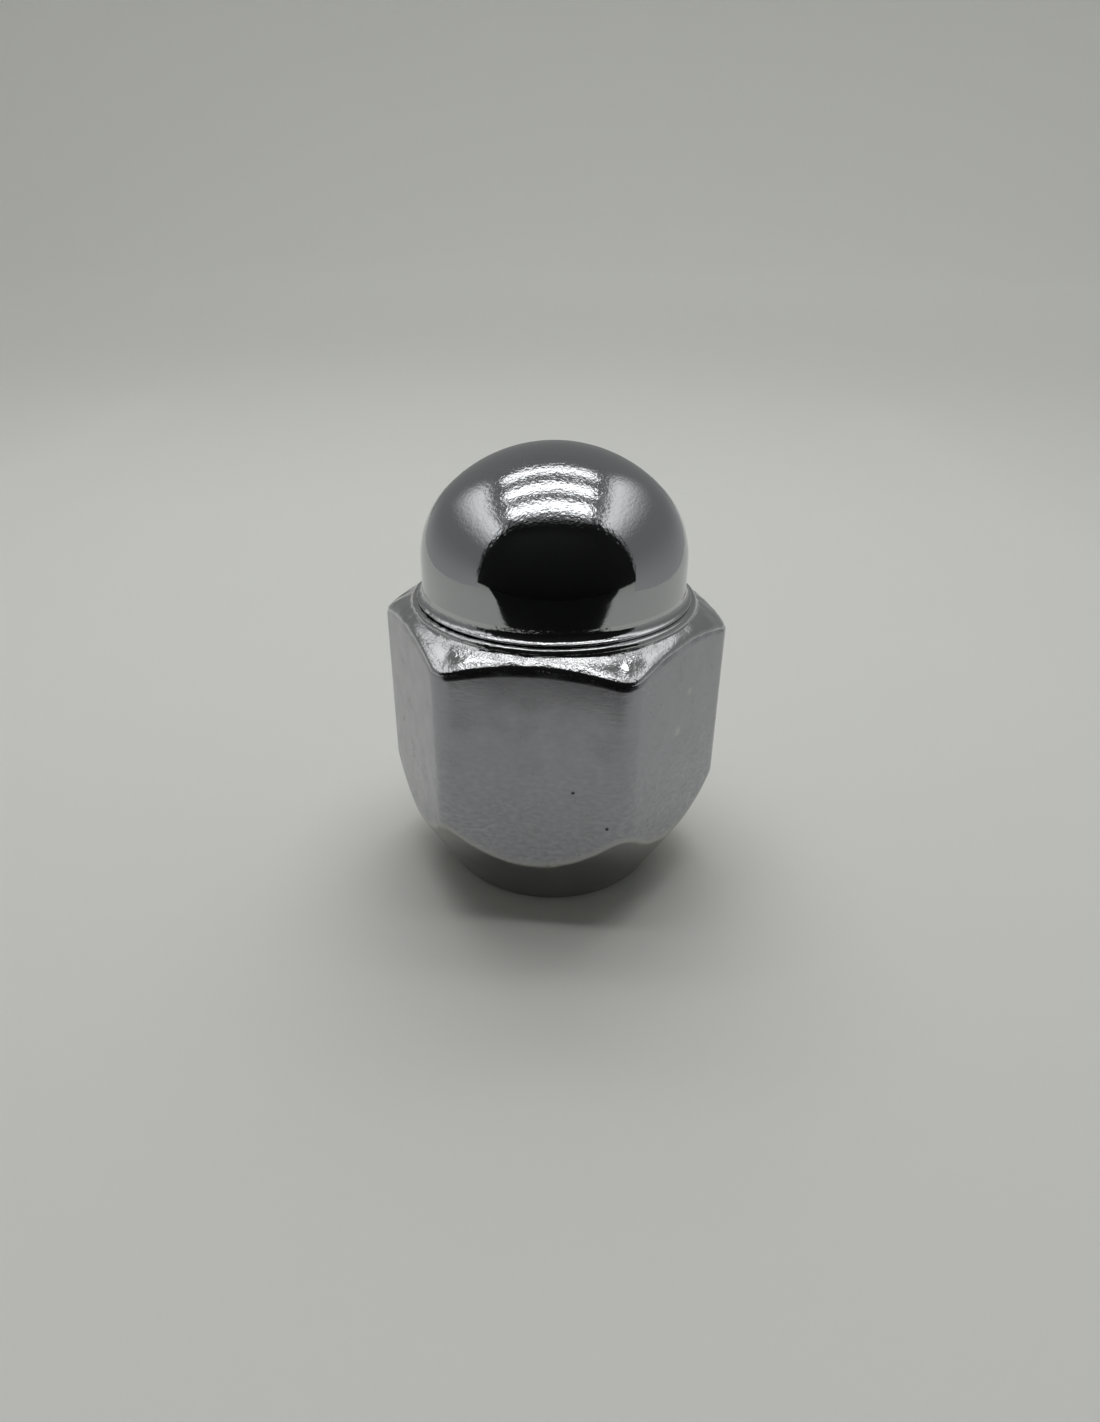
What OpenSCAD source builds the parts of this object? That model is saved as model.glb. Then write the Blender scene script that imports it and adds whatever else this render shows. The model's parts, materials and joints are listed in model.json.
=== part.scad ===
// Closed-end wheel lug nut: a forged hexagon body with a conical seat and a
// through thread, closed by a pressed dome cap that is welded on its collar.
// Millimetres. The thread axis is Z, the foot ring stands on Z = 0, the dome points up,
// and two of the wrench flats face -Y and +Y.

/* [Hexagon] */
// Width across the wrench flats
across_flats = 21; // [20:0.1:24]
// Radius of the six upright corners
corner_radius = 1.8; // [0.5:0.1:2.5]
// Slope of the chamfer that tops the corners, from the horizontal
chamfer_angle = 30; // [15:1:40]
// Height of the body, from the foot ring to the top of the collar
body_height = 20.55; // [17:0.05:26]

/* [Conical seat] */
// Included angle of the seat that centres the nut in the wheel
seat_angle = 60; // [50:1:90]
// Outer diameter of the foot ring, where the seat meets the flat foot
foot_dia = 15.2; // [14.5:0.1:18]
// Radius of the foot ring's outer edge
foot_edge_radius = 0.4; // [0.1:0.05:0.8]

/* [Thread] */
// Nominal diameter of the wheel stud's thread
thread_dia = 12; // [10:0.5:12.5]
// Thread pitch
thread_pitch = 1.5; // [1:0.25:1.75]
// Radial width of the 45 degree lead-in past the nominal thread, at the foot
mouth_lead = 0.45; // [0.1:0.05:0.8]
// Radial width of the 45 degree deburr past the nominal thread, under the cap
top_lead = 0.15; // [0.05:0.05:0.5]

/* [Dome cap] */
// Outer diameter of the cap's straight skirt
cap_dia = 17.9; // [17:0.1:19]
// Height of the cap, from its weld face to the crown
cap_height = 10; // [9:0.1:14]
// Thickness of the drawn sheet
cap_wall = 1; // [0.6:0.1:1.5]
// How much the radius of the crown exceeds the skirt's, on the outside
crown_flattening = 1.1; // [0.5:0.1:6]
// Radius of the knuckle between the crown and the skirt, on the outside
knuckle_radius = 6.3; // [3:0.1:8]

/* [Flared edge and collar] */
// How far the cap's flared edge stands out from the skirt
flare_width = 0.4; // [0.3:0.05:0.6]
// Radius of the flare, on the outside
flare_radius = 0.85; // [0.6:0.05:1.2]
// Thickness of the flare's round edge, where it is welded to the collar
flare_edge = 0.2; // [0.15:0.05:0.4]
// Width of the collar's top that shows round the flared edge
ledge_width = 0.4; // [0.2:0.05:0.6]
// Height of the collar above the chamfer
collar_height = 0.35; // [0.2:0.05:0.8]
// Radius of the collar's rim
rim_radius = 0.12; // [0.05:0.01:0.15]

/* [Hidden] */
$fn = 96;
overlap = 1; // how far a cutting shape passes the face that it cuts
arc_lap = 0.001; // how far an arc passes the faces that it rounds, so that they cross cleanly
steel_grey = "#9b9da0";
bright_chrome = "#c9cbce";

// A 60 degree thread's crest in the nut stands this many pitches inside the nominal diameter
minor_drop = 5 * sqrt(3) / 8;
bore_radius = (thread_dia - minor_drop * thread_pitch) / 2;

cap_radius = cap_dia / 2;
rim_reach = cap_radius + flare_width; // outer radius of the flared edge
collar_radius = rim_reach + ledge_width;
chamfer_top = body_height - collar_height;

flat_radius = across_flats / 2;
corner_centre = (flat_radius - corner_radius) / cos(30);
corner_reach = corner_centre + corner_radius;
profile_radius = corner_reach + overlap; // the turned profile clears the corners

foot_radius = foot_dia / 2;
seat_slope = seat_angle / 2; // from the axis
seat_turn = 90 - seat_slope; // how far the foot's edge turns
foot_arc_x = foot_radius - foot_edge_radius * tan(seat_turn / 2);

// Crown and knuckle are tangent, and their centres lie on one line through the joint
crown_radius = cap_radius + crown_flattening;
crown_centre = cap_height - crown_radius;
knuckle_x = cap_radius - knuckle_radius;
knuckle_z = crown_centre + sqrt(pow(crown_radius - knuckle_radius, 2) - pow(knuckle_x, 2));
joint_angle = atan2(knuckle_z - crown_centre, knuckle_x); // from the horizontal

// What is cut from a sharp corner to round it: the space outside an arc, between two angles
module corner_waste(centre, radius, from, to) {
    reach = 3 * radius;
    translate(centre)
        difference() {
            polygon([[0, 0], for (a = [from, (from + to) / 2, to]) reach * [cos(a), sin(a)]]);
            circle(radius + arc_lap);
        }
}

// A hexagon with round corners and flats facing -Y and +Y
module rounded_hexagon() {
    difference() {
        circle(flat_radius / cos(30), $fn = 6);
        for (side = [0 : 5])
            rotate(60 * side)
                corner_waste([corner_centre, 0], corner_radius, -30, 30);
    }
}

// Half section of the turned form: foot, seat cone, chamfer and collar
module turned_section() {
    seat_top = (profile_radius - foot_radius) / tan(seat_slope);
    chamfer_low = chamfer_top - (profile_radius - collar_radius) * tan(chamfer_angle);
    difference() {
        polygon([
            [0, 0],
            [foot_radius, 0],
            [profile_radius, seat_top],
            [profile_radius, chamfer_low],
            [collar_radius, chamfer_top],
            [collar_radius, body_height],
            [0, body_height]
        ]);
        corner_waste([foot_arc_x, foot_edge_radius], foot_edge_radius, -90, -seat_slope);
        corner_waste([collar_radius - rim_radius, body_height - rim_radius], rim_radius, 0, 90);
    }
}

// Through bore at the thread's crests, with a 45 degree lead-in at each end
module threaded_bore() {
    mouth_radius = thread_dia / 2 + mouth_lead;
    top_radius = thread_dia / 2 + top_lead;
    translate([0, 0, -overlap])
        cylinder(h = body_height + 2 * overlap, r = bore_radius);
    translate([0, 0, -overlap])
        cylinder(h = mouth_radius - bore_radius + overlap, r1 = mouth_radius + overlap, r2 = bore_radius);
    translate([0, 0, body_height - (top_radius - bore_radius)])
        cylinder(h = top_radius - bore_radius + overlap, r1 = bore_radius, r2 = top_radius + overlap);
}

// Half of the dome's outline, drawn in from the outside by inset and reaching down to bottom
module dome_area(inset, bottom) {
    difference() {
        intersection() {
            translate([0, crown_centre])
                circle(crown_radius - inset);
            translate([0, bottom])
                square([cap_radius - inset, cap_height - bottom + overlap]);
        }
        corner_waste([knuckle_x, knuckle_z], knuckle_radius - inset, 0, joint_angle);
    }
}

// Half section of the flare, which leaves the skirt in an arc and ends in a full round edge.
// The two arcs are tangent, and their centres lie on one line through the joint.
module flare_section() {
    edge_radius = flare_edge / 2;
    inner = cap_radius - cap_wall / 2;
    run = flare_radius + edge_radius - flare_width;
    rise = sqrt(pow(flare_radius + edge_radius, 2) - pow(run, 2));
    flare_top = edge_radius + rise;
    difference() {
        translate([inner, 0])
            square([rim_reach - inner, flare_top]);
        translate([cap_radius + flare_radius, flare_top])
            circle(flare_radius + arc_lap);
        corner_waste([rim_reach - edge_radius, edge_radius], edge_radius, -90, atan2(rise, run));
    }
}

module hex_body() {
    color(steel_grey)
        difference() {
            intersection() {
                linear_extrude(body_height)
                    rounded_hexagon();
                rotate_extrude()
                    turned_section();
            }
            threaded_bore();
        }
}

module dome_cap() {
    color(bright_chrome)
        translate([0, 0, body_height])
            rotate_extrude()
                difference() {
                    union() {
                        dome_area(0, 0);
                        flare_section();
                    }
                    dome_area(cap_wall, -overlap);
                }
}

hex_body();
dome_cap();
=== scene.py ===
"""Closed-end wheel lug nut: chrome plate over a forged hexagon body and a drawn dome cap."""
import json
import math

import bpy
import numpy as np
from bpy.props import FloatProperty, FloatVectorProperty, PointerProperty
from mathutils import Matrix, Vector, noise


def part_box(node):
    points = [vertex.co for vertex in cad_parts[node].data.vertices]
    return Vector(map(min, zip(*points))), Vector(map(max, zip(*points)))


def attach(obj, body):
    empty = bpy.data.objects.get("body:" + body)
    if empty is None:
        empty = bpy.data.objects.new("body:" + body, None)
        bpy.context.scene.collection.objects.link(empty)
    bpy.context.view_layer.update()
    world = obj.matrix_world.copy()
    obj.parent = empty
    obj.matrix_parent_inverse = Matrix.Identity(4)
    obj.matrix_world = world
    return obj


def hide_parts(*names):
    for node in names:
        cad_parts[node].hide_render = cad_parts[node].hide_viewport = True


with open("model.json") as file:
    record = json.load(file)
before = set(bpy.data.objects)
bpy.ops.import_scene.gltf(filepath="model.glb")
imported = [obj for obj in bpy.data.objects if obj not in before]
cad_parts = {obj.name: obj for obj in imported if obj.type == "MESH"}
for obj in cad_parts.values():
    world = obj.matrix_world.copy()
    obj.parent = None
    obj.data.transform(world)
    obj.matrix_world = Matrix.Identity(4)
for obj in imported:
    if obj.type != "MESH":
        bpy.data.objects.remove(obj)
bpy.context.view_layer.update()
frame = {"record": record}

bl_info = {
    "name": "Lug Nut",
    "version": (1, 0, 0),
    "blender": (4, 5, 0),
    "location": "View3D > Sidebar > Lug Nut",
    "description": "Builds a chrome-plated closed-end wheel lug nut and a small light tent for it",
    "category": "Add Mesh",
}

MM = 0.001
BODY = "root"


def mount(name):
    """The record's mount of that name."""
    return next(m for m in frame["record"]["mounts"] if m["name"] == name)


def linear(hex_colour):
    """Linear colour of an sRGB hex value."""
    levels = [int(hex_colour[i:i + 2], 16) / 255 for i in (1, 3, 5)]
    return tuple(c / 12.92 if c <= 0.04045 else ((c + 0.055) / 1.055) ** 2.4 for c in levels)


# Sizes that the frame gives, in millimetres
BODY_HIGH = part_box("hex_body")[1] / MM
CAP_LOW, CAP_HIGH = (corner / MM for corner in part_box("dome_cap"))
FLAT_RADIUS = BODY_HIGH.y
CORNER_REACH = BODY_HIGH.x
BODY_HEIGHT = BODY_HIGH.z
RIM_REACH = CAP_HIGH.x
CROWN_TOP = CAP_HIGH.z
BORE_RADIUS = mount("stud_thread")["dims"]["r_mm"]

# A hexagon's corner reaches flat / cos 30 when sharp, and a radius takes part of that away
SHARP_SHARE = 1 / math.cos(math.radians(30))
CORNER_RADIUS = (FLAT_RADIUS * SHARP_SHARE - CORNER_REACH) / (SHARP_SHARE - 1)
CORNER_CENTRE = CORNER_REACH - CORNER_RADIUS

# Sizes of the solids that the frame doesn't give. In these and the other constants, lengths are in
# millimetres, and slopes and turns are in degrees.
FOOT_RADIUS = 7.6
FOOT_EDGE = 0.4
SEAT_SLOPE = 30
CHAMFER_SLOPE = 30
LEDGE_WIDTH = 0.4
COLLAR_HEIGHT = 0.35
THREAD_RADIUS = 6
MOUTH_RADIUS = 6.45
TOP_RADIUS = 6.15
CAP_RADIUS = 8.95
CAP_WALL = 1
CROWN_RADIUS = 10.05
KNUCKLE_RADIUS = 6.3
FLARE_EDGE = 0.2
COLLAR_RADIUS = RIM_REACH + LEDGE_WIDTH
CHAMFER_TOP = BODY_HEIGHT - COLLAR_HEIGHT

# The cap's crown and knuckle are tangent, and their centres lie on one line through the joint, whose angle
# is in radians
CROWN_CENTRE = CROWN_TOP - CROWN_RADIUS
KNUCKLE_X = CAP_RADIUS - KNUCKLE_RADIUS
KNUCKLE_Z = CROWN_CENTRE + math.sqrt((CROWN_RADIUS - KNUCKLE_RADIUS) ** 2 - KNUCKLE_X ** 2)
JOINT_ANGLE = math.atan2(KNUCKLE_Z - CROWN_CENTRE, KNUCKLE_X)

# Radii that depart from the solids', in millimetres: a rounder collar rim, a soft corner at the collar's
# foot and a tighter flare, which make the seam's two bright rings
COLLAR_RIM = 0.3
COLLAR_FOOT = 0.06
FLARE_RADIUS = 0.55

# The thread's flanks lean by this many degrees, and its root is flat over this share of the pitch
THREAD_FLANK = 30
ROOT_FLAT = 1 / 8

# Width of the faces that join the outside's grid to the bore's, at the foot and under the cap
FOOT_JOIN = 0.2
TOP_JOIN = 0.4

# The flats roll off from this share of their half width on. The chamfer turns down by so many degrees
# near its outer edge, in a bend of this radius.
ROLL_NEARNESS = 0.75
ROLL_TURN = 8
ROLL_RADIUS = 1.5

# Wavelengths of the relief, in millimetres, and the share at which a finer wave is added to a coarser one
FORGE_WAVE = 2.6
FORGE_RIPPLE = 0.9
RIPPLE_SHARE = 0.15
CHAMFER_WAVE = 2.2
CHAMFER_LUMP = 1
LUMP_SHARE = 0.6
WELD_WAVE = 0.6
DRAW_WAVE = 4

# The weld's bead starts and ends in this direction and is roughest there. On the far side the least share
# is left, and up the cap the roughness fades out over this height.
WELD_START = Vector((-0.83, -0.56))
WELD_LEAST = 0.15
WELD_HEIGHT = 0.8

# Width of the chamfer's lumpy borders, the number of such widths in which they end, and the reach of the
# rim's painted highlight above and below the edge where the seat runs out
CHAMFER_BORDER = 0.6
BORDER_END = 1.5
RIM_WIDTH = 0.5

# Steps of the body's grid: around one corner, along one flat, outer columns per bore column, and rows in
# one turn of the thread
CORNER_STEPS = 14
FLAT_STEPS = 58
BORE_SHARE = 4
ROWS_PER_PITCH = 16

# Steps of the cap's grid: round the axis, and along each part of its outline
CAP_COLUMNS = 360
WELD_FACE_STEPS = 4
EDGE_STEPS = 10
FLARE_STEPS = 12
SKIRT_STEPS = 9
KNUCKLE_STEPS = 40
CROWN_STEPS = 46
WALL_STEPS = 5
INNER_KNUCKLE_STEPS = 14
INNER_CROWN_STEPS = 16

# An edge that turns by more degrees than this is shaded as a sharp one
SHARP_ANGLE = 40

# Regions of the body's surface and finishes of the cap's
FOOT, SEAT, FLAT, CHAMFER, COLLAR, BORE = range(6)
DRAWN, WELDED = range(2)


class LugNutSizes(bpy.types.PropertyGroup):
    """Small forms that the solids leave to the looks."""
    chamfer_edge: FloatProperty(
        name="Chamfer edge", description="Radius of the edge between the chamfer and the flats",
        default=0.45 * MM, min=0.1 * MM, max=0.6 * MM, unit="LENGTH")
    seat_edge: FloatProperty(
        name="Seat edge", description="Radius of the edge between the seat and the flats",
        default=0.55 * MM, min=0.05 * MM, max=1 * MM, unit="LENGTH")
    thread_pitch: FloatProperty(
        name="Thread pitch", description="Pitch of the right-hand thread",
        default=1.5 * MM, min=1 * MM, max=1.75 * MM, unit="LENGTH")
    forge_relief: FloatProperty(
        name="Forge relief", description="Depth of the waves that forging leaves on the flats",
        default=0.012 * MM, min=0, max=0.05 * MM, unit="LENGTH")
    chamfer_relief: FloatProperty(
        name="Chamfer relief", description="Depth of the lumps on the chamfer",
        default=0.11 * MM, min=0, max=0.15 * MM, unit="LENGTH")
    weld_relief: FloatProperty(
        name="Weld relief", description="Depth of the roughness on the welded collar",
        default=0.1 * MM, min=0, max=0.15 * MM, unit="LENGTH")
    corner_roll: FloatProperty(
        name="Corner roll",
        description="How far the flats roll off towards the upright corners, at the bottom",
        default=0.05 * MM, min=0, max=0.1 * MM, unit="LENGTH")
    chamfer_roll: FloatProperty(
        name="Chamfer roll", description="Width over which the chamfer rolls off towards its outer edge",
        default=0.35 * MM, min=0.1 * MM, max=0.5 * MM, unit="LENGTH")
    draw_relief: FloatProperty(
        name="Draw relief", description="Depth of the faint waves on the drawn cap",
        default=0.004 * MM, min=0, max=0.02 * MM, unit="LENGTH")


class LugNutColours(bpy.types.PropertyGroup):
    """Colours of the plated faces and of the stage."""
    cap: FloatVectorProperty(
        name="Cap", description="Chrome plate on the drawn cap", subtype="COLOR",
        default=linear("#aeb0b2"), min=0, max=1)
    flats: FloatVectorProperty(
        name="Flats", description="Chrome plate on the forged flats", subtype="COLOR",
        default=linear("#ababaf"), min=0, max=1)
    flats_dull: FloatVectorProperty(
        name="Dull flats", description="Chrome plate in the hollows of the forged flats", subtype="COLOR",
        default=linear("#94949a"), min=0, max=1)
    chamfer: FloatVectorProperty(
        name="Chamfer", description="Chrome plate on the turned chamfer and collar", subtype="COLOR",
        default=linear("#bdbebf"), min=0, max=1)
    # Set darker than the other plate to stand in for the shade under the nut: partly plate, partly painted
    # shade
    seat: FloatVectorProperty(
        name="Seat", description="Chrome plate on the seat", subtype="COLOR",
        default=linear("#9c9d9b"), min=0, max=1)
    pits: FloatVectorProperty(
        name="Pits", description="Dark scale in the small pits of the flats", subtype="COLOR",
        default=linear("#2c2b2a"), min=0, max=1)
    # Also the colour of the painted highlight along the rim where the seat runs out
    wear_and_highlight: FloatVectorProperty(
        name="Worn spots", description="Brighter plate where the flats are scuffed", subtype="COLOR",
        default=linear("#b3b2ae"), min=0, max=1)
    thread: FloatVectorProperty(
        name="Thread", description="Thinly plated steel in the thread", subtype="COLOR",
        default=linear("#8a8885"), min=0, max=1)
    floor: FloatVectorProperty(
        name="Floor", description="Pale card that the nut stands on", subtype="COLOR",
        default=linear("#e6e7e3"), min=0, max=1)


class LugNutStage(bpy.types.PropertyGroup):
    """Camera and lamps."""
    camera_azimuth: FloatProperty(
        name="Camera azimuth", description="Turn of the camera to the right of the front flat",
        default=math.radians(6.624), subtype="ANGLE")
    camera_elevation: FloatProperty(
        name="Camera elevation", description="Height of the camera above the horizon",
        default=math.radians(28.389), subtype="ANGLE")
    camera_roll: FloatProperty(
        name="Camera roll", description="Turn of the camera about its own line of sight",
        default=math.radians(0.547), subtype="ANGLE")
    camera_distance: FloatProperty(
        name="Camera distance", description="From the camera to the point that it looks at",
        default=68.4 * MM, unit="LENGTH")
    camera_lens: FloatProperty(
        name="Lens", description="Focal length in millimetres, on 36 mm of film height", default=23.58)
    bar_strength: FloatProperty(
        name="Bar strength", description="Radiance of the three lamp bars", default=3.5, min=0)
    panel_strength: FloatProperty(
        name="Panel strength", description="Radiance that the lamps add to the top of the foil walls",
        default=1.1, min=0)
    cloth_strength: FloatProperty(
        name="Cloth strength", description="Radiance of the tent's cloth as the nut reflects it",
        default=0.23, min=0)
    fill_power: FloatProperty(
        name="Fill power", description="Power of the large soft lamp behind the nut",
        default=3.9, min=0, unit="POWER")


def sizes_mm(context):
    """The size properties in millimetres, by name."""
    group = context.scene.lug_nut_sizes
    return {name: getattr(group, name) / MM for name in LugNutSizes.__annotations__}


def arc(centre, radius, start, end, steps):
    """Points on an arc between two angles in radians."""
    angles = np.linspace(start, end, steps + 1)
    return np.stack([centre[0] + radius * np.cos(angles), centre[1] + radius * np.sin(angles)], 1)


def outline(corners):
    """Points (r, z) of an open outline and the region of each step.

    A corner is (r, z, radius, arc steps, steps to the next corner, region of those steps).
    The first and last corners are plain points.
    """
    points = []
    regions = []
    bends = []
    places = [np.array(corner[:2], float) for corner in corners]
    for i, corner in enumerate(corners):
        radius, arc_steps = corner[2], corner[3]
        if not radius:
            bends.append([places[i]])
            continue
        back = places[i - 1] - places[i]
        ahead = places[i + 1] - places[i]
        back /= np.linalg.norm(back)
        ahead /= np.linalg.norm(ahead)
        half = math.acos(np.clip(back @ ahead, -1, 1)) / 2
        bisector = back + ahead
        centre = places[i] + bisector / np.linalg.norm(bisector) * radius / math.sin(half)
        first = places[i] + back * radius / math.tan(half) - centre
        last = places[i] + ahead * radius / math.tan(half) - centre
        turn = math.atan2(first[0] * last[1] - first[1] * last[0], first @ last)
        begin = math.atan2(first[1], first[0])
        bends.append(list(arc(centre, radius, begin, begin + turn, arc_steps)))
    for i, corner in enumerate(corners):
        if i:
            steps, region = corners[i - 1][4], corners[i - 1][5]
            for k in range(1, steps):
                points.append(bends[i - 1][-1] + (bends[i][0] - bends[i - 1][-1]) * k / steps)
            regions += [region] * steps
        points += bends[i]
        regions += [corner[5]] * (len(bends[i]) - 1)
    return np.array(points), regions


def hexagon_columns():
    """Angle, radius and nearness to a corner (0 to 1) of each column round the rounded hexagon."""
    half_flat = CORNER_CENTRE / 2
    angles = []
    radii = []
    nearness = []
    for side in range(6):
        corner = side * math.pi / 3
        for turn in np.linspace(-math.pi / 6, math.pi / 6, CORNER_STEPS, endpoint=False):
            x = CORNER_CENTRE + CORNER_RADIUS * math.cos(turn)
            y = CORNER_RADIUS * math.sin(turn)
            angles.append(corner + math.atan2(y, x))
            radii.append(math.hypot(x, y))
            nearness.append(1)
        for along in np.linspace(-half_flat, half_flat, FLAT_STEPS, endpoint=False):
            angles.append(corner + math.pi / 6 + math.atan2(along, FLAT_RADIUS))
            radii.append(math.hypot(along, FLAT_RADIUS))
            nearness.append(abs(along) / half_flat)
    return np.array(angles), np.array(radii), np.array(nearness)


def body_outline(reach, sizes):
    """Outline of the body's outside where the hexagon reaches that far from the axis."""
    seat_top = (reach - FOOT_RADIUS) / math.tan(math.radians(SEAT_SLOPE))
    chamfer_rise = math.tan(math.radians(CHAMFER_SLOPE))
    roll_start = reach - sizes["chamfer_roll"]
    roll_top = CHAMFER_TOP - (roll_start - COLLAR_RADIUS) * chamfer_rise
    chamfer_low = roll_top - sizes["chamfer_roll"] * math.tan(math.radians(CHAMFER_SLOPE + ROLL_TURN))
    return outline([
        (MOUTH_RADIUS + FOOT_JOIN, 0, 0, 0, 3, FOOT),
        (FOOT_RADIUS, 0, FOOT_EDGE, 6, 24, SEAT),
        (reach, seat_top, sizes["seat_edge"], 6, 64, FLAT),
        (reach, chamfer_low, sizes["chamfer_edge"], 8, 3, CHAMFER),
        (roll_start, roll_top, ROLL_RADIUS, 6, 12, CHAMFER),
        (COLLAR_RADIUS, CHAMFER_TOP, COLLAR_FOOT, 3, 4, COLLAR),
        (COLLAR_RADIUS, BODY_HEIGHT, COLLAR_RIM, 6, 8, COLLAR),
        (TOP_RADIUS + TOP_JOIN, BODY_HEIGHT, 0, 0, 0, COLLAR),
    ])


def waves(place, wavelength):
    """Smooth noise between 0 and 1 with about that wavelength, in millimetres."""
    return 0.5 + 0.5 * noise.noise(place / wavelength)


def outward(rows):
    """Outward direction (r, z) at each point of an outline, for a grid (row, column, r and z)."""
    along = np.gradient(rows, axis=0)
    normal = np.stack([along[..., 1], -along[..., 0]], -1)
    return normal / np.linalg.norm(normal, axis=-1, keepdims=True)


def ring_points(rows, angles):
    """Points (x, y, z) of a grid of (r, z) rows at the columns' angles."""
    r, z = rows[..., 0], rows[..., 1]
    return np.stack([r * np.cos(angles), r * np.sin(angles), z], -1)


def bore_rows(angles, pitch):
    """Radius and height of the tapped bore, from the foot up: a thread with a lead-in at each end."""
    heights = np.linspace(0, BODY_HEIGHT, round(BODY_HEIGHT / pitch * ROWS_PER_PITCH) + 1)
    z = np.repeat(heights[:, None], len(angles), 1)
    turn = (z / pitch - angles / (2 * math.pi)) % 1
    from_root = np.abs(turn - 0.5) * pitch
    flank = math.tan(math.radians(THREAD_FLANK))
    groove = THREAD_RADIUS - (from_root - pitch * ROOT_FLAT / 2) / flank
    thread = np.clip(groove, BORE_RADIUS, THREAD_RADIUS)
    lead = np.maximum(MOUTH_RADIUS - z, TOP_RADIUS - (BODY_HEIGHT - z))
    return np.stack([np.maximum(thread, lead), z], -1)


def weld_share(place):
    """How rough the weld left the collar there: most where its bead starts and ends."""
    return WELD_LEAST + (1 - WELD_LEAST) * max(0, place.xy.normalized() @ WELD_START) ** 2


def body_relief(points, row_regions, nearness, sizes):
    """How far each point of the body's outside lies below its plain form, in millimetres."""
    depth = np.zeros(points.shape[:2])
    for row, region in enumerate(row_regions):
        for column, point in enumerate(points[row]):
            place = Vector(point)
            if region == FLAT:
                low = 1 - place.z / BODY_HEIGHT
                edge = max(0, (nearness[column] - ROLL_NEARNESS) / (1 - ROLL_NEARNESS))
                forged = waves(place, FORGE_WAVE) + RIPPLE_SHARE * waves(-place, FORGE_RIPPLE)
                depth[row, column] = sizes["corner_roll"] * low * edge ** 2 + sizes["forge_relief"] * forged
            elif region == CHAMFER:
                lumps = waves(place, CHAMFER_WAVE) + LUMP_SHARE * waves(-place, CHAMFER_LUMP)
                depth[row, column] = sizes["chamfer_relief"] * lumps
            elif region == COLLAR:
                depth[row, column] = sizes["weld_relief"] * weld_share(place) * waves(place, WELD_WAVE)
    return depth


def border_shares(rows, angles, radii, nearness, row_regions):
    """How near each point lies to its face's border: a flat's upright corners, or the chamfer's two edges.

    The collar carries its share of weld roughness instead.
    """
    r = rows[..., 0]
    region = np.array(row_regions)[:, None]
    from_edge = np.minimum(radii - r, r - COLLAR_RADIUS) / CHAMFER_BORDER
    weld = np.array([weld_share(Vector((math.cos(a), math.sin(a), 0))) for a in angles])
    shares = np.where(region == CHAMFER, np.clip(BORDER_END - from_edge, 0, 1), nearness)
    return np.where(region == COLLAR, weld, shares)


def rim_highlight_shares(rows, radii):
    """How near each point lies to the edge where the seat runs out on the flats, from 0 to 1."""
    seat_top = (radii - FOOT_RADIUS) / math.tan(math.radians(SEAT_SLOPE))
    return np.clip(1 - np.abs(rows[..., 1] - seat_top) / RIM_WIDTH, 0, 1)


def add_mesh(name, points, faces, materials, face_materials):
    """A smooth mesh object from points in millimetres, with the material of each face."""
    mesh = bpy.data.meshes.new(name)
    mesh.from_pydata((np.asarray(points) * MM).tolist(), [], faces)
    for material in materials:
        mesh.materials.append(material)
    mesh.polygons.foreach_set("material_index", face_materials)
    mesh.shade_smooth()
    mesh.set_sharp_from_angle(angle=math.radians(SHARP_ANGLE))
    mesh.validate()
    obj = bpy.data.objects.new(name, mesh)
    bpy.context.scene.collection.objects.link(obj)
    return obj


def grid_faces(rows, columns, first, regions):
    """Quads of a closed ring of columns, with the region of each row of faces."""
    faces = []
    kinds = []
    for row in range(rows - 1):
        low = first + row * columns
        for column in range(columns):
            ahead = (column + 1) % columns
            faces.append((low + column, low + ahead, low + columns + ahead, low + columns + column))
            kinds.append(regions[row])
    return faces, kinds


def add_node(tree, kind, settings=None, **links):
    """Adds a node. Settings name its options or its input sockets, and links name sockets to join."""
    node = tree.nodes.new(kind)
    for name, value in (settings or {}).items():
        if name in node.inputs:
            node.inputs[name].default_value = value
        else:
            setattr(node, name, value)
    for name, source in links.items():
        tree.links.new(source, node.inputs[name])
    return node


def new_material(name):
    """A material and its node tree, which is still empty."""
    material = bpy.data.materials.new(name)
    material.use_nodes = True
    tree = material.node_tree
    tree.nodes.clear()
    return material, tree


# Heights between which the peel on the cap grows to its full depth, in millimetres
PEEL_START, PEEL_FULL = 24, 27.5


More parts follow.
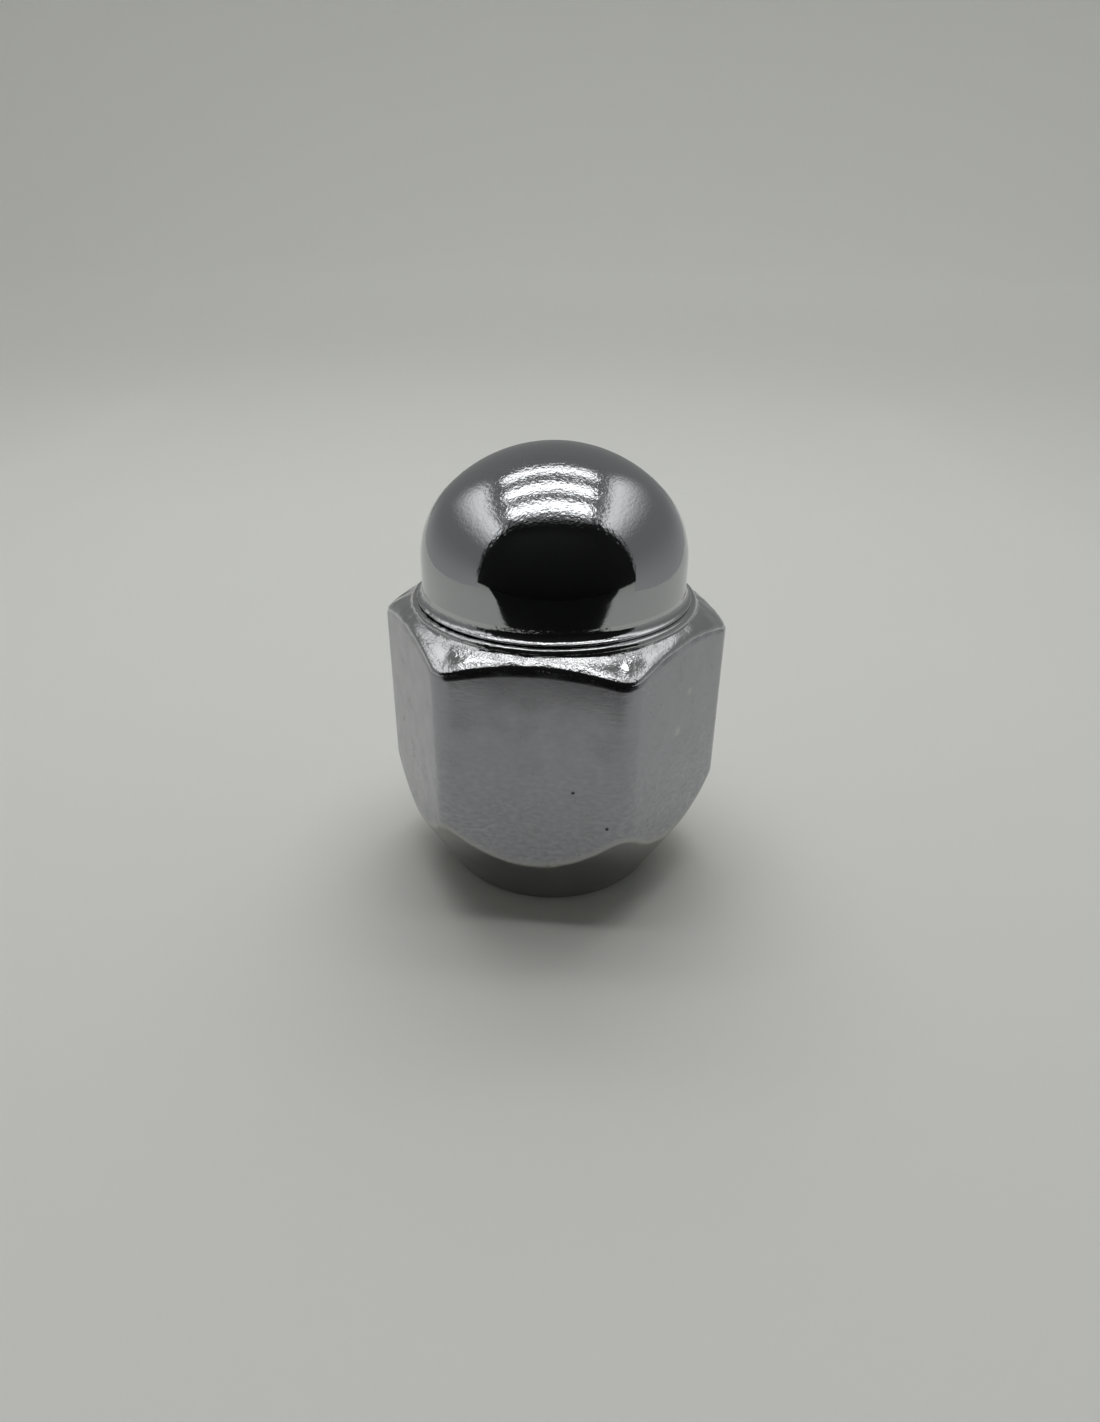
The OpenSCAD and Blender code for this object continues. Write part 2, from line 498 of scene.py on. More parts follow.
def drawn_chrome(colours):
    """Bright chrome plate on a drawn steel cap.

    It mirrors the room. Drawing stretches the crown and leaves it an orange peel, which breaks bright
    reflections into sparkle, while the ironed skirt stays smooth. The peel of the real plate is about
    0.1 mm and is drawn at 0.2 mm, so that it shows.
    """
    material, tree = new_material("chrome_on_drawn_steel")
    place = add_node(tree, "ShaderNodeTexCoord")
    height = add_node(tree, "ShaderNodeSeparateXYZ", Vector=place.outputs["Object"])
    peel = add_node(tree, "ShaderNodeTexNoise", {"Scale": 1 / (0.2 * MM), "Detail": 3},
                    Vector=place.outputs["Object"])
    haze = add_node(tree, "ShaderNodeTexNoise", {"Scale": 1 / (2.5 * MM), "Detail": 3},
                    Vector=place.outputs["Object"])
    rough = add_node(tree, "ShaderNodeMapRange", {
        "From Min": 0.35, "From Max": 0.7, "To Min": 0.04, "To Max": 0.08}, Value=haze.outputs["Fac"])
    stretched = add_node(tree, "ShaderNodeMapRange", {
        "From Min": PEEL_START * MM, "From Max": PEEL_FULL * MM, "To Min": 0.1, "To Max": 1},
        Value=height.outputs["Z"])
    bump = add_node(tree, "ShaderNodeBump", {"Distance": 0.014 * MM},
                    Height=peel.outputs["Fac"], Strength=stretched.outputs["Result"])
    shader = add_node(tree, "ShaderNodeBsdfPrincipled", {"Base Color": (*colours.cap, 1), "Metallic": 1},
                      Roughness=rough.outputs["Result"], Normal=bump.outputs["Normal"])
    add_node(tree, "ShaderNodeOutputMaterial", Surface=shader.outputs["BSDF"])
    return material


# The wrinkles on the flats are full up to the first height and faint from the second on, in millimetres.
# The haze lifts each place by up to the shift, which makes that border ragged.
WRINKLE_FULL, WRINKLE_FAINT = 11, 19
WRINKLE_SHIFT = 10

# Small marks on the flats: place and radius in millimetres, and the colour that shows there. It is full in
# the core, as a share of the radius. The pebble pushes the outlines about by up to half of the spread.
MARK_SPREAD = 0.2
MARK_CORE = 0.3
MARKS = (
    ((2.54, -10.5, 11.1), 0.16, "pits"),
    ((4.8, -10.5, 8.5), 0.18, "pits"),
    ((-10.34, -3.1, 11.5), 0.22, "pits"),
    ((-9.26, -5, 9.6), 0.18, "pits"),
    ((8.99, -5.43, 13.27), 0.45, "wear_and_highlight"),
    ((9.6, -4.38, 15.76), 0.35, "wear_and_highlight"),
)


def forged_chrome(colours):
    """Chrome plate on as-forged flats.

    Satin, with a fine wrinkled pebble that is strong low down and fades raggedly towards the top. Near the
    upright corners the die's wall dragged the metal, which left short level marks. The rim where the seat
    runs out carries a painted highlight, and a few small dark pits show where scale fell out.
    """
    material, tree = new_material("chrome_on_forged_steel")
    place = add_node(tree, "ShaderNodeTexCoord")
    level = add_node(tree, "ShaderNodeMapping", {"Scale": (1 / (0.5 * MM), 1 / (0.5 * MM), 1 / (0.26 * MM))},
                     Vector=place.outputs["Object"])
    pebble = add_node(tree, "ShaderNodeTexNoise", {"Scale": 1, "Detail": 4, "Roughness": 0.6},
                      Vector=level.outputs["Vector"])
    flattened = add_node(tree, "ShaderNodeMapping", {
        "Scale": (1 / (1.1 * MM), 1 / (1.1 * MM), 1 / (0.22 * MM))}, Vector=place.outputs["Object"])
    drag = add_node(tree, "ShaderNodeTexNoise", {"Scale": 1, "Detail": 2}, Vector=flattened.outputs["Vector"])
    border = add_node(tree, "ShaderNodeAttribute", {"attribute_name": "border"})
    near = add_node(tree, "ShaderNodeMapRange", {"From Min": 0.5, "From Max": 0.95, "To Min": 0, "To Max": 1},
                    Value=border.outputs["Fac"])
    haze = add_node(tree, "ShaderNodeTexNoise", {"Scale": 1 / (1.6 * MM), "Detail": 5},
                    Vector=place.outputs["Object"])
    axes = add_node(tree, "ShaderNodeSeparateXYZ", Vector=place.outputs["Object"])
    ragged = add_node(tree, "ShaderNodeMath", {"operation": "MULTIPLY_ADD"})
    tree.links.new(haze.outputs["Fac"], ragged.inputs[0])
    ragged.inputs[1].default_value = WRINKLE_SHIFT * MM
    tree.links.new(axes.outputs["Z"], ragged.inputs[2])
    wrinkled = add_node(tree, "ShaderNodeMapRange", {
        "From Min": WRINKLE_FULL * MM, "From Max": WRINKLE_FAINT * MM, "To Min": 1, "To Max": 0.25},
        Value=ragged.outputs["Value"])
    grain = add_node(tree, "ShaderNodeMapRange", {
        "From Min": 0.35, "From Max": 0.65, "To Min": -0.5, "To Max": 0.5}, Value=pebble.outputs["Fac"])
    spread = add_node(tree, "ShaderNodeMath", {"operation": "MULTIPLY_ADD"})
    tree.links.new(grain.outputs["Result"], spread.inputs[0])
    tree.links.new(wrinkled.outputs["Result"], spread.inputs[1])
    spread.inputs[2].default_value = 0.5
    mottle = add_node(tree, "ShaderNodeMix", {"data_type": "RGBA"})
    tree.links.new(spread.outputs["Value"], mottle.inputs["Factor"])
    mottle.inputs[6].default_value = (*colours.flats_dull, 1)
    mottle.inputs[7].default_value = (*colours.flats, 1)
    uneven = add_node(tree, "ShaderNodeVectorMath", {"operation": "MULTIPLY_ADD"})
    tree.links.new(pebble.outputs["Color"], uneven.inputs[0])
    tree.links.new(place.outputs["Object"], uneven.inputs[2])
    uneven.inputs[1].default_value = [MARK_SPREAD * MM] * 3
    # The rim's mask mixes in the brighter plate: a painted highlight along the edge where the seat runs out
    rim = add_node(tree, "ShaderNodeAttribute", {"attribute_name": "rim"})
    plate = add_node(tree, "ShaderNodeMix", {"data_type": "RGBA"})
    tree.links.new(rim.outputs["Fac"], plate.inputs["Factor"])
    tree.links.new(mottle.outputs[2], plate.inputs[6])
    plate.inputs[7].default_value = (*colours.wear_and_highlight, 1)
    for centre, radius, colour in MARKS:
        away = add_node(tree, "ShaderNodeVectorMath", {"operation": "DISTANCE"})
        tree.links.new(uneven.outputs["Vector"], away.inputs[0])
        away.inputs[1].default_value = [(c + MARK_SPREAD / 2) * MM for c in centre]
        inside = add_node(tree, "ShaderNodeMapRange", {
            "From Min": MARK_CORE * radius * MM, "From Max": radius * MM, "To Min": 1, "To Max": 0},
            Value=away.outputs["Value"])
        marked = add_node(tree, "ShaderNodeMix", {"data_type": "RGBA"})
        tree.links.new(inside.outputs["Result"], marked.inputs["Factor"])
        tree.links.new(plate.outputs[2], marked.inputs[6])
        marked.inputs[7].default_value = (*getattr(colours, colour), 1)
        plate = marked
    rough = add_node(tree, "ShaderNodeMapRange", {
        "From Min": 0.3, "From Max": 0.7, "To Min": 0.17, "To Max": 0.29}, Value=haze.outputs["Fac"])
    marks = add_node(tree, "ShaderNodeBump", {"Distance": 0.006 * MM},
                     Height=drag.outputs["Fac"], Strength=near.outputs["Result"])
    bump = add_node(tree, "ShaderNodeBump", {"Distance": 0.012 * MM}, Height=pebble.outputs["Fac"],
                    Strength=wrinkled.outputs["Result"], Normal=marks.outputs["Normal"])
    shader = add_node(tree, "ShaderNodeBsdfPrincipled", {"Metallic": 1}, **{"Base Color": plate.outputs[2]},
                      Roughness=rough.outputs["Result"], Normal=bump.outputs["Normal"])
    add_node(tree, "ShaderNodeOutputMaterial", Surface=shader.outputs["BSDF"])
    return material


def welded_chrome(colours):
    """Chrome plate on the chamfer, the welded collar and the cap's flare.

    Bright and lumpy: along the borders a coarse orange peel scatters the lamps into sparkle, and the broad
    tips between them are smoother.
    """
    shared = bpy.data.materials.get("chrome_on_welded_steel")
    if shared:
        return shared
    material, tree = new_material("chrome_on_welded_steel")
    place = add_node(tree, "ShaderNodeTexCoord")
    peel = add_node(tree, "ShaderNodeTexNoise", {"Scale": 1 / (0.28 * MM), "Detail": 3, "Roughness": 0.6},
                    Vector=place.outputs["Object"])
    border = add_node(tree, "ShaderNodeAttribute", {"attribute_name": "border"})
    lumpy = add_node(tree, "ShaderNodeMapRange", {"From Min": 0, "From Max": 1, "To Min": 0.2, "To Max": 1},
                     Value=border.outputs["Fac"])
    bump = add_node(tree, "ShaderNodeBump", {"Distance": 0.036 * MM},
                    Height=peel.outputs["Fac"], Strength=lumpy.outputs["Result"])
    rough = add_node(tree, "ShaderNodeMapRange", {
        "From Min": 0.3, "From Max": 0.7, "To Min": 0.02, "To Max": 0.06}, Value=peel.outputs["Fac"])
    shader = add_node(tree, "ShaderNodeBsdfPrincipled", {"Base Color": (*colours.chamfer, 1), "Metallic": 1},
                      Roughness=rough.outputs["Result"], Normal=bump.outputs["Normal"])
    add_node(tree, "ShaderNodeOutputMaterial", Surface=shader.outputs["BSDF"])
    return material


def seat_chrome(colours):
    """Chrome plate on the machined seat and foot: smooth and softly bright."""
    material, tree = new_material("machined_seat_chrome_and_shade")
    place = add_node(tree, "ShaderNodeTexCoord")
    haze = add_node(tree, "ShaderNodeTexNoise", {"Scale": 1 / (1.5 * MM), "Detail": 4},
                    Vector=place.outputs["Object"])
    rough = add_node(tree, "ShaderNodeMapRange", {
        "From Min": 0.3, "From Max": 0.7, "To Min": 0.16, "To Max": 0.24}, Value=haze.outputs["Fac"])
    bump = add_node(tree, "ShaderNodeBump", {"Strength": 1, "Distance": 0.003 * MM},
                    Height=haze.outputs["Fac"])
    # The seat's colour is darkened to paint the shade under the nut: painted shade
    shader = add_node(tree, "ShaderNodeBsdfPrincipled", {"Base Color": (*colours.seat, 1), "Metallic": 1},
                      Roughness=rough.outputs["Result"], Normal=bump.outputs["Normal"])
    add_node(tree, "ShaderNodeOutputMaterial", Surface=shader.outputs["BSDF"])
    return material


def tapped_steel(colours):
    """Steel of the tapped thread, with little plate and a film of cutting oil: dull and uneven."""
    material, tree = new_material("tapped_steel")
    place = add_node(tree, "ShaderNodeTexCoord")
    film = add_node(tree, "ShaderNodeTexNoise", {"Scale": 1 / (0.8 * MM), "Detail": 5},
                    Vector=place.outputs["Object"])
    rough = add_node(tree, "ShaderNodeMapRange", {
        "From Min": 0.3, "From Max": 0.7, "To Min": 0.3, "To Max": 0.5}, Value=film.outputs["Fac"])
    shader = add_node(tree, "ShaderNodeBsdfPrincipled", {"Base Color": (*colours.thread, 1), "Metallic": 1},
                      Roughness=rough.outputs["Result"])
    add_node(tree, "ShaderNodeOutputMaterial", Surface=shader.outputs["BSDF"])
    return material


class LUGNUT_OT_hex_body(bpy.types.Operator):
    """Builds the forged hexagon body with its seat, chamfer, collar and tapped bore"""
    bl_idname = "lug_nut.hex_body"
    bl_label = "Hexagon Body"

    def execute(self, context):
        sizes = sizes_mm(context)
        colours = context.scene.lug_nut_colours
        angles, radii, nearness = hexagon_columns()
        outlines = [body_outline(reach, sizes) for reach in radii]
        regions = outlines[0][1]
        row_regions = [*regions, regions[-1]]
        rows = np.stack([points for points, _ in outlines], 1)
        relief = body_relief(ring_points(rows, angles), row_regions, nearness, sizes)
        rows = rows - outward(rows) * relief[..., None]
        outside = ring_points(rows, angles)
        columns = len(angles)

        bore_angles = angles[::BORE_SHARE]
        bore = ring_points(bore_rows(bore_angles, sizes["thread_pitch"]), bore_angles)
        bore_columns = len(bore_angles)
        first_bore = outside.shape[0] * columns
        last_outer = (outside.shape[0] - 1) * columns
        last_bore = first_bore + (bore.shape[0] - 1) * bore_columns

        faces, kinds = grid_faces(outside.shape[0], columns, 0, regions)
        inner, inner_kinds = grid_faces(bore.shape[0], bore_columns, first_bore, [BORE] * bore.shape[0])
        faces += [face[::-1] for face in inner]
        kinds += inner_kinds
        for column in range(bore_columns):
            ahead = (column + 1) % bore_columns
            span = [(column * BORE_SHARE + k) % columns for k in range(BORE_SHARE + 1)]
            faces.append([first_bore + column, first_bore + ahead, *span[::-1]])
            kinds.append(FOOT)
            faces.append([last_bore + ahead, last_bore + column, *[last_outer + k for k in span]])
            kinds.append(COLLAR)

        seat = seat_chrome(colours)
        flats = forged_chrome(colours)
        welded = welded_chrome(colours)
        thread = tapped_steel(colours)
        material_of = {FOOT: 0, SEAT: 0, FLAT: 1, CHAMFER: 2, COLLAR: 2, BORE: 3}
        points = np.concatenate([outside.reshape(-1, 3), bore.reshape(-1, 3)])
        body = add_mesh("hex_body_plated", points, faces, [seat, flats, welded, thread],
                        [material_of[kind] for kind in kinds])
        in_bore = np.zeros(bore[..., 0].size)
        shares = {"border": border_shares(rows, angles, radii, nearness, row_regions),
                  "rim": rim_highlight_shares(rows, radii)}
        for name, values in shares.items():
            attribute = body.data.attributes.new(name, "FLOAT", "POINT")
            attribute.data.foreach_set("value", [*values.ravel(), *in_bore])
        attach(body, BODY)
        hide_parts("hex_body")
        return {"FINISHED"}


def dome_arcs(inset, knuckle_steps, crown_steps):
    """Points (r, z) of the knuckle and the crown, drawn in from the outside by inset, without the pole."""
    return np.concatenate([
        arc((KNUCKLE_X, KNUCKLE_Z), KNUCKLE_RADIUS - inset, 0, JOINT_ANGLE, knuckle_steps)[:-1],
        arc((0, CROWN_CENTRE), CROWN_RADIUS - inset, JOINT_ANGLE, math.pi / 2, crown_steps)[:-1],
    ])


def cap_outside():
    """Outline (r, z) of the cap from the inner edge of its weld face, round the flare and up to the crown."""
    base = CAP_LOW.z
    edge = FLARE_EDGE / 2
    run = FLARE_RADIUS + edge - (RIM_REACH - CAP_RADIUS)
    rise = math.sqrt((FLARE_RADIUS + edge) ** 2 - run ** 2)
    flare_end = math.atan2(rise, run)
    flare_top = base + edge + rise
    inner = CAP_RADIUS - CAP_WALL
    weld_face = np.linspace((inner, base), (RIM_REACH - edge, base), WELD_FACE_STEPS, endpoint=False)
    skirt = np.linspace((CAP_RADIUS, flare_top), (CAP_RADIUS, KNUCKLE_Z), SKIRT_STEPS, endpoint=False)
    return np.concatenate([
        weld_face,
        arc((RIM_REACH - edge, base + edge), edge, -math.pi / 2, flare_end, EDGE_STEPS)[:-1],
        arc((CAP_RADIUS + FLARE_RADIUS, flare_top), FLARE_RADIUS, math.pi + flare_end, math.pi, FLARE_STEPS),
        skirt[1:],
        dome_arcs(0, KNUCKLE_STEPS, CROWN_STEPS),
    ])


def cap_inside():
    """Outline (r, z) of the cap's hollow, from just above the weld face up to the crown."""
    inner = CAP_RADIUS - CAP_WALL
    wall = np.linspace((inner, CAP_LOW.z), (inner, KNUCKLE_Z), WALL_STEPS, endpoint=False)
    return np.concatenate([wall[1:], dome_arcs(CAP_WALL, INNER_KNUCKLE_STEPS, INNER_CROWN_STEPS)])


def cap_relief(place, sizes):
    """How far a point of the cap's outside lies below its plain form, in millimetres."""
    welded = max(0, 1 - (place.z - CAP_LOW.z) / WELD_HEIGHT) * weld_share(place)
    drawn = sizes["draw_relief"] * waves(place, DRAW_WAVE)
    return drawn + sizes["weld_relief"] * welded * waves(place, WELD_WAVE)


class LUGNUT_OT_dome_cap(bpy.types.Operator):
    """Builds the drawn dome cap with its flared edge"""
    bl_idname = "lug_nut.dome_cap"
    bl_label = "Dome Cap"

    def execute(self, context):
        sizes = sizes_mm(context)
        angles = np.arange(CAP_COLUMNS) * 2 * math.pi / CAP_COLUMNS
        outside = np.repeat(cap_outside()[:, None], CAP_COLUMNS, 1)
        plain = ring_points(outside, angles)
        relief = np.array([[cap_relief(Vector(p), sizes) for p in row] for row in plain])
        outside = outside - outward(outside) * relief[..., None]
        inside = np.repeat(cap_inside()[:, None], CAP_COLUMNS, 1)
        points = np.concatenate([
            ring_points(outside, angles).reshape(-1, 3),
            ring_points(inside, angles).reshape(-1, 3),
            [(0, 0, CROWN_TOP - sizes["draw_relief"]), (0, 0, CROWN_TOP - CAP_WALL)],
        ])
        outer_rows, inner_rows = len(outside), len(inside)
        first_inner = outer_rows * CAP_COLUMNS
        crown = first_inner + inner_rows * CAP_COLUMNS
        finish = [WELDED if z < CAP_LOW.z + WELD_HEIGHT else DRAWN for z in outside[:, 0, 1]]
        faces, kinds = grid_faces(outer_rows, CAP_COLUMNS, 0, finish)
        hollow, hollow_kinds = grid_faces(inner_rows, CAP_COLUMNS, first_inner, [DRAWN] * inner_rows)
        faces += [face[::-1] for face in hollow]
        kinds += hollow_kinds
        top = first_inner - CAP_COLUMNS
        inner_top = crown - CAP_COLUMNS
        for column in range(CAP_COLUMNS):
            ahead = (column + 1) % CAP_COLUMNS
            faces.append((top + column, top + ahead, crown))
            faces.append((inner_top + ahead, inner_top + column, crown + 1))
            faces.append((ahead, column, first_inner + column, first_inner + ahead))
            kinds += [DRAWN] * 3
        colours = context.scene.lug_nut_colours
        materials = [drawn_chrome(colours), welded_chrome(colours)]
        cap = add_mesh("dome_cap_plated", points, faces, materials, kinds)
        border = cap.data.attributes.new("border", "FLOAT", "POINT")
        border.data.foreach_set("value", [weld_share(Vector(point)) for point in points])
        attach(cap, BODY)
        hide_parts("dome_cap")
        return {"FINISHED"}


def glow(name, strength):
    """A plain light-giving surface: lamp glass, or white tent cloth lit from behind."""
    material, tree = new_material(name)
    shader = add_node(tree, "ShaderNodeEmission", {"Color": (1, 1, 1, 1), "Strength": strength})
    add_node(tree, "ShaderNodeOutputMaterial", Surface=shader.outputs["Emission"])
    return material


def lit_foil(name, cloth_strength, panel_strength):
    """Side wall of crinkled foil.

    It is bright where the lamps strike it, below its shaded top, and fades downwards and towards the back
    to the dull cloth. At its foot it mirrors the floor.
    """
    material, tree = new_material(name)
    place = add_node(tree, "ShaderNodeTexCoord")
    axes = add_node(tree, "ShaderNodeSeparateXYZ", Vector=place.outputs["Object"])
    down = add_node(tree, "ShaderNodeMapRange", {
        "interpolation_type": "SMOOTHSTEP", "From Min": FOIL_FADE * MM, "From Max": FOIL_PEAK * MM,
        "To Min": 0, "To Max": panel_strength}, Value=axes.outputs["Z"])
    shaded = add_node(tree, "ShaderNodeMapRange", {
        "interpolation_type": "SMOOTHSTEP", "From Min": FOIL_TOP * MM, "From Max": FOIL_PEAK * MM,
        "To Min": 0, "To Max": 1}, Value=axes.outputs["Z"])
    along = add_node(tree, "ShaderNodeMapRange", {
        "interpolation_type": "SMOOTHSTEP", "From Min": FOIL_BACK * MM, "From Max": FOIL_LIT * MM,
        "To Min": 0, "To Max": 1}, Value=axes.outputs["Y"])
    patch = add_node(tree, "ShaderNodeMath", {"operation": "MULTIPLY"})
    tree.links.new(shaded.outputs["Result"], patch.inputs[0])
    tree.links.new(along.outputs["Result"], patch.inputs[1])
    lit = add_node(tree, "ShaderNodeMath", {"operation": "MULTIPLY_ADD"})
    tree.links.new(down.outputs["Result"], lit.inputs[0])
    tree.links.new(patch.outputs["Value"], lit.inputs[1])
    lit.inputs[2].default_value = cloth_strength
    foot = add_node(tree, "ShaderNodeMapRange", {
        "interpolation_type": "SMOOTHSTEP", "From Min": 0, "From Max": FOIL_FOOT * MM,
        "To Min": FOOT_GLOW, "To Max": 0}, Value=axes.outputs["Z"])
    whole = add_node(tree, "ShaderNodeMath", {"operation": "ADD"})
    tree.links.new(lit.outputs["Value"], whole.inputs[0])
    tree.links.new(foot.outputs["Result"], whole.inputs[1])
    shader = add_node(tree, "ShaderNodeEmission", {"Color": (1, 1, 1, 1)}, Strength=whole.outputs["Value"])
    add_node(tree, "ShaderNodeOutputMaterial", Surface=shader.outputs["Emission"])
    return material


def matte_card(name, colour, grain):
    """Uncoated card: matte, with a faint fibre grain of that size in millimetres."""
    material, tree = new_material(name)
    place = add_node(tree, "ShaderNodeTexCoord")
    fibre = add_node(tree, "ShaderNodeTexNoise", {"Scale": 1 / (grain * MM), "Detail": 3},
                     Vector=place.outputs["Object"])
    bump = add_node(tree, "ShaderNodeBump", {"Strength": 0.05, "Distance": 0.02 * MM},
                    Height=fibre.outputs["Fac"])
    shader = add_node(tree, "ShaderNodeBsdfPrincipled", {"Base Color": (*colour, 1), "Roughness": 0.9},
                      Normal=bump.outputs["Normal"])
    add_node(tree, "ShaderNodeOutputMaterial", Surface=shader.outputs["BSDF"])
    return material


def add_card(name, corners, material, azimuth, lights_floor=False):
    """A flat stage card for reflections, with its corners in millimetres, turned with the camera."""
    mesh = bpy.data.meshes.new(name)
    mesh.from_pydata([Vector(corner) * MM for corner in corners], [], [range(len(corners))])
    mesh.materials.append(material)
    card = bpy.data.objects.new(name, mesh)
    card.rotation_euler.z = azimuth
    bpy.context.scene.collection.objects.link(card)
    card.visible_camera = False
    card.visible_diffuse = lights_floor
    card.visible_shadow = False


def add_lamp(name, place, size, power):
    """A soft round lamp that shines down and shows in no reflection, with its sizes in millimetres."""
    light = bpy.data.lights.new(name, "AREA")
    light.energy = power
    light.shape = "DISK"
    light.size = size * MM
    lamp = bpy.data.objects.new(name, light)
    lamp.location = Vector(place) * MM
    lamp.visible_glossy = False
    lamp.visible_camera = False
    bpy.context.scene.collection.objects.link(lamp)


def level_card(x0, x1, y0, y1, z):
    """Corners of a level rectangle."""
    return [(x0, y0, z), (x1, y0, z), (x1, y1, z), (x0, y1, z)]


def wall_card(x0, y0, x1, y1, height):
    """Corners of an upright rectangle that stands on the floor between two points."""
    return [(x0, y0, 0), (x1, y1, 0), (x1, y1, height), (x0, y0, height)]


# The light tent, in millimetres: +X to the camera's right, +Y away from it. Its right wall starts further
# back than its left one, and its cloth hangs just above the lamp bars.
TENT_LEFT, TENT_RIGHT = -104, 81
TENT_FRONT, TENT_BACK = -54, 190
TENT_TOP = 200
RIGHT_OPENS = 18
CLOTH_GAP = 2
BAR_ENDS = (-98, 76)
BAR_MIDDLES = (103, 38, -17)
BAR_WIDTH = 24

# Heights on the foil walls, in millimetres: where the lamps' light starts, is fullest and ends in shade, and
# where the mirrored floor ends. The light is full up to the first distance back and gone at the second.
FOIL_FADE = 70
FOIL_PEAK = 140
FOIL_TOP = 174
FOIL_FOOT = 55
FOIL_LIT, FOIL_BACK = 70, 130

# Radiance of the mirrored floor at the foil's foot, and of the room all round
FOOT_GLOW = 0.14
ROOM_LIGHT = 0.055

# The dark room in front of the tent, and a black card of painted shadow on the floor there, which only
# reflections show, in millimetres
ROOM_REACH = 400
ROOM_FRONT = -84
SHADOW_CARD_EDGE = -46
SHADOW_CARD_HALF = 46
SHADOW_CARD_WIDE = 110
SHADOW_CARD_LIFT = 0.3
DARK_GRAIN = 1

# The pale floor is a disc that curves up into a wall, in millimetres
FLOOR_COLUMNS = 96
FLOOR_RINGS = (40, 90, 180, 350)
FLOOR_RADIUS = 700
COVE_RADIUS = 300
COVE_STEPS = 16
WALL_TOP = 900
CARD_GRAIN = 0.6

# The soft lamp behind the nut, and the point that the camera looks at, in millimetres
FILL_PLACE = (0, 500, 850)
FILL_SIZE = 1200
AIM = Vector((-0.194, -0.023, 11.21))


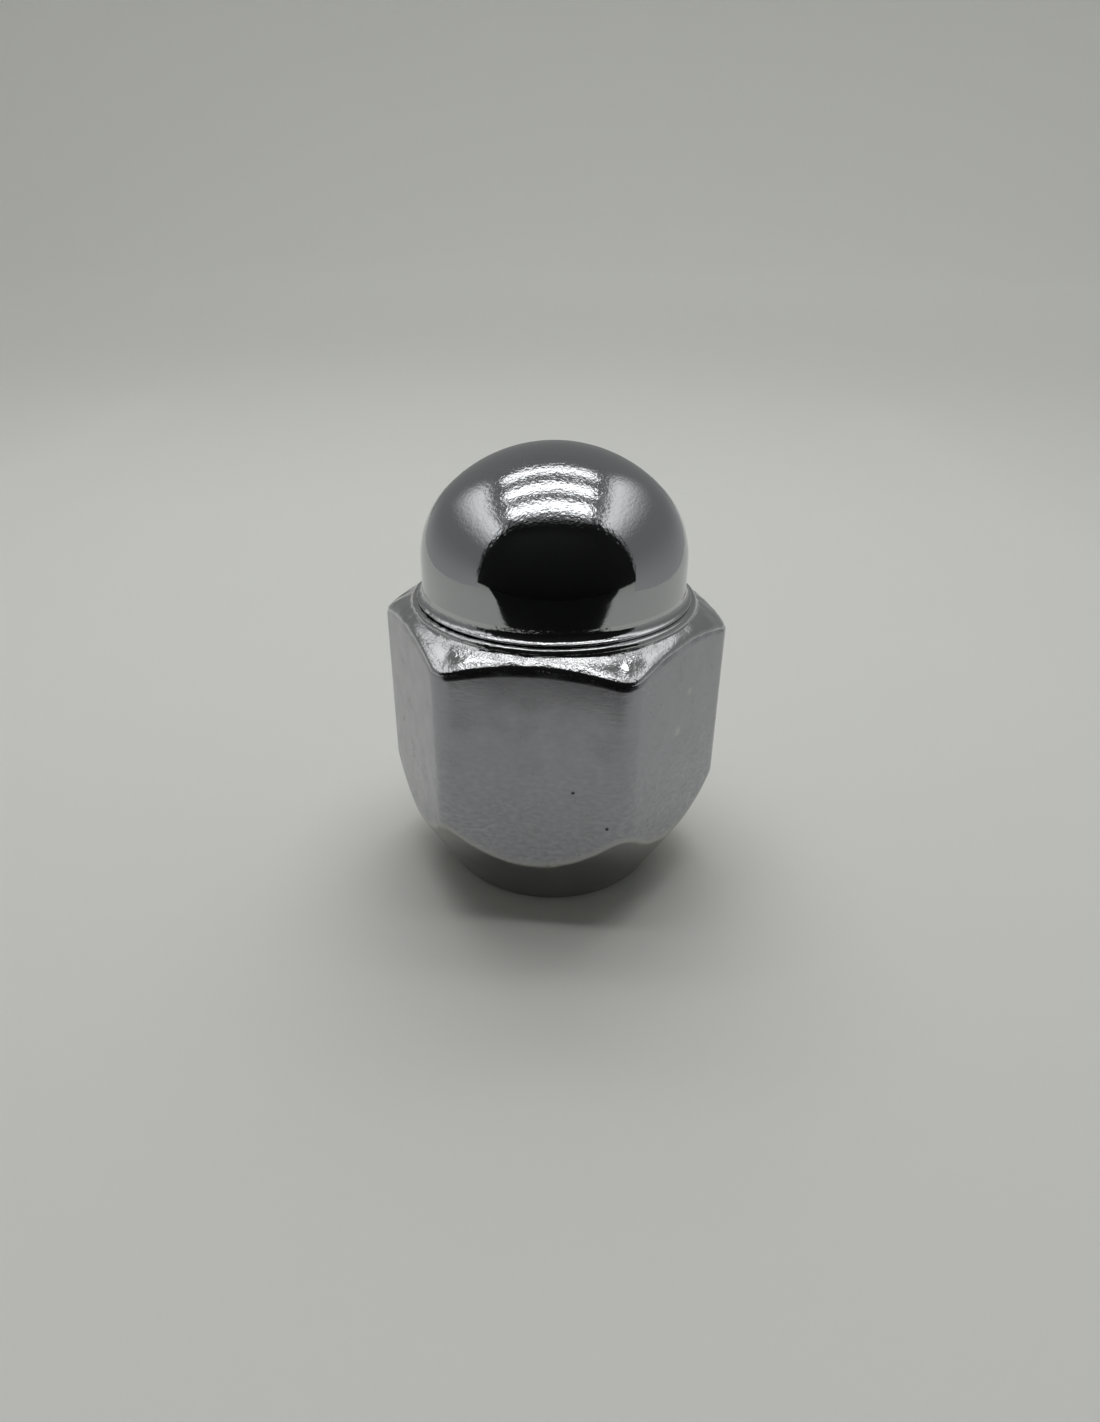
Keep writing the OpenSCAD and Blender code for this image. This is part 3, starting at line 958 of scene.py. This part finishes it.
class LUGNUT_OT_stage(bpy.types.Operator):
    """Sets up the pale floor, the light tent's lamps and cloth, and the camera"""
    bl_idname = "lug_nut.stage"
    bl_label = "Stage and Camera"

    def execute(self, context):
        scene = context.scene
        stage = scene.lug_nut_stage
        cove = arc((FLOOR_RADIUS, COVE_RADIUS), COVE_RADIUS, -math.pi / 2, 0, COVE_STEPS)
        profile = np.concatenate([[(ring, 0) for ring in FLOOR_RINGS], cove,
                                  [(FLOOR_RADIUS + COVE_RADIUS, WALL_TOP)]])
        angles = np.arange(FLOOR_COLUMNS) * 2 * math.pi / FLOOR_COLUMNS
        rows = ring_points(np.repeat(profile[:, None], FLOOR_COLUMNS, 1), angles)
        faces, kinds = grid_faces(len(profile), FLOOR_COLUMNS, 0, [0] * len(profile))
        faces.append(list(range(FLOOR_COLUMNS))[::-1])
        kinds.append(0)
        card = matte_card("white_card", scene.lug_nut_colours.floor, CARD_GRAIN)
        floor = add_mesh("floor", rows.reshape(-1, 3), faces, [card], kinds)
        floor.data.flip_normals()

        cloth = glow("tent_cloth", stage.cloth_strength)
        foil = lit_foil("tent_foil", stage.cloth_strength, stage.panel_strength)
        dark = matte_card("dark_room_and_painted_shadow", (0, 0, 0), DARK_GRAIN)
        bars = glow("lamp_bar", stage.bar_strength)
        left, right, front, back, top = TENT_LEFT, TENT_RIGHT, TENT_FRONT, TENT_BACK, TENT_TOP
        azimuth = stage.camera_azimuth
        add_card("tent_left", wall_card(left, front, left, back, top), foil, azimuth)
        add_card("tent_right", wall_card(right, front + RIGHT_OPENS, right, back, top), foil, azimuth)
        add_card("tent_back", wall_card(left, back, right, back, top), cloth, azimuth)
        add_card("tent_top", level_card(left, right, front, back, top + CLOTH_GAP), cloth, azimuth)
        reach, near = ROOM_REACH, ROOM_FRONT
        add_card("dark_front", wall_card(-reach, near, reach, near, reach), dark, azimuth)
        add_card("dark_top", level_card(-reach, reach, near, front, reach), dark, azimuth)
        # A black card where the floor in front lies in shadow: painted shadow
        add_card("painted_floor_shadow", [
            (-SHADOW_CARD_WIDE, near, SHADOW_CARD_LIFT), (SHADOW_CARD_WIDE, near, SHADOW_CARD_LIFT),
            (SHADOW_CARD_HALF, SHADOW_CARD_EDGE, SHADOW_CARD_LIFT),
            (-SHADOW_CARD_HALF, SHADOW_CARD_EDGE, SHADOW_CARD_LIFT)], dark, azimuth)
        half = BAR_WIDTH / 2
        for middle in BAR_MIDDLES:
            bar = level_card(*BAR_ENDS, middle - half, middle + half, top)
            add_card("lamp_bar", bar, bars, azimuth, lights_floor=True)

        add_lamp("soft_fill", FILL_PLACE, FILL_SIZE, stage.fill_power)

        world = bpy.data.worlds.new("room")
        world.use_nodes = True
        background = world.node_tree.nodes["Background"]
        background.inputs["Color"].default_value = (1, 1, 1, 1)
        background.inputs["Strength"].default_value = ROOM_LIGHT
        scene.world = world
        scene.view_settings.view_transform = "Standard"

        elevation, roll = stage.camera_elevation, stage.camera_roll
        back_way = Vector((math.sin(azimuth) * math.cos(elevation), -math.cos(azimuth) * math.cos(elevation),
                           math.sin(elevation)))
        right_way = Vector((math.cos(azimuth), math.sin(azimuth), 0))
        up_way = back_way.cross(right_way)
        across = math.cos(roll) * right_way + math.sin(roll) * up_way
        upright = back_way.cross(across)
        camera = bpy.data.objects.new("camera", bpy.data.cameras.new("camera"))
        camera.data.lens = stage.camera_lens
        camera.data.clip_start = 1 * MM
        place = AIM * MM + back_way * stage.camera_distance
        turned = Matrix((across, upright, back_way)).transposed().to_4x4()
        camera.matrix_world = Matrix.Translation(place) @ turned
        scene.collection.objects.link(camera)
        scene.camera = camera
        return {"FINISHED"}


class LUGNUT_PT_panel(bpy.types.Panel):
    """Lists the nut's pieces and the values that shape them"""
    bl_idname = "LUGNUT_PT_panel"
    bl_label = "Lug Nut"
    bl_space_type = "VIEW_3D"
    bl_region_type = "UI"
    bl_category = "Lug Nut"

    def draw(self, context):
        for operator in OPERATORS:
            self.layout.operator(operator.bl_idname)
        for group in GROUPS:
            values = getattr(context.scene, group)
            for name in GROUPS[group].__annotations__:
                self.layout.prop(values, name)


OPERATORS = (LUGNUT_OT_stage, LUGNUT_OT_hex_body, LUGNUT_OT_dome_cap)
GROUPS = {"lug_nut_sizes": LugNutSizes, "lug_nut_colours": LugNutColours, "lug_nut_stage": LugNutStage}
CLASSES = (*GROUPS.values(), *OPERATORS, LUGNUT_PT_panel)


def register():
    for cls in CLASSES:
        bpy.utils.register_class(cls)
    for name, group in GROUPS.items():
        setattr(bpy.types.Scene, name, PointerProperty(type=group))


def unregister():
    for name in GROUPS:
        delattr(bpy.types.Scene, name)
    for cls in reversed(CLASSES):
        bpy.utils.unregister_class(cls)


def main():
    register()
    bpy.ops.lug_nut.stage()
    bpy.ops.lug_nut.hex_body()
    bpy.ops.lug_nut.dome_cap()


if __name__ == "__main__":
    main()
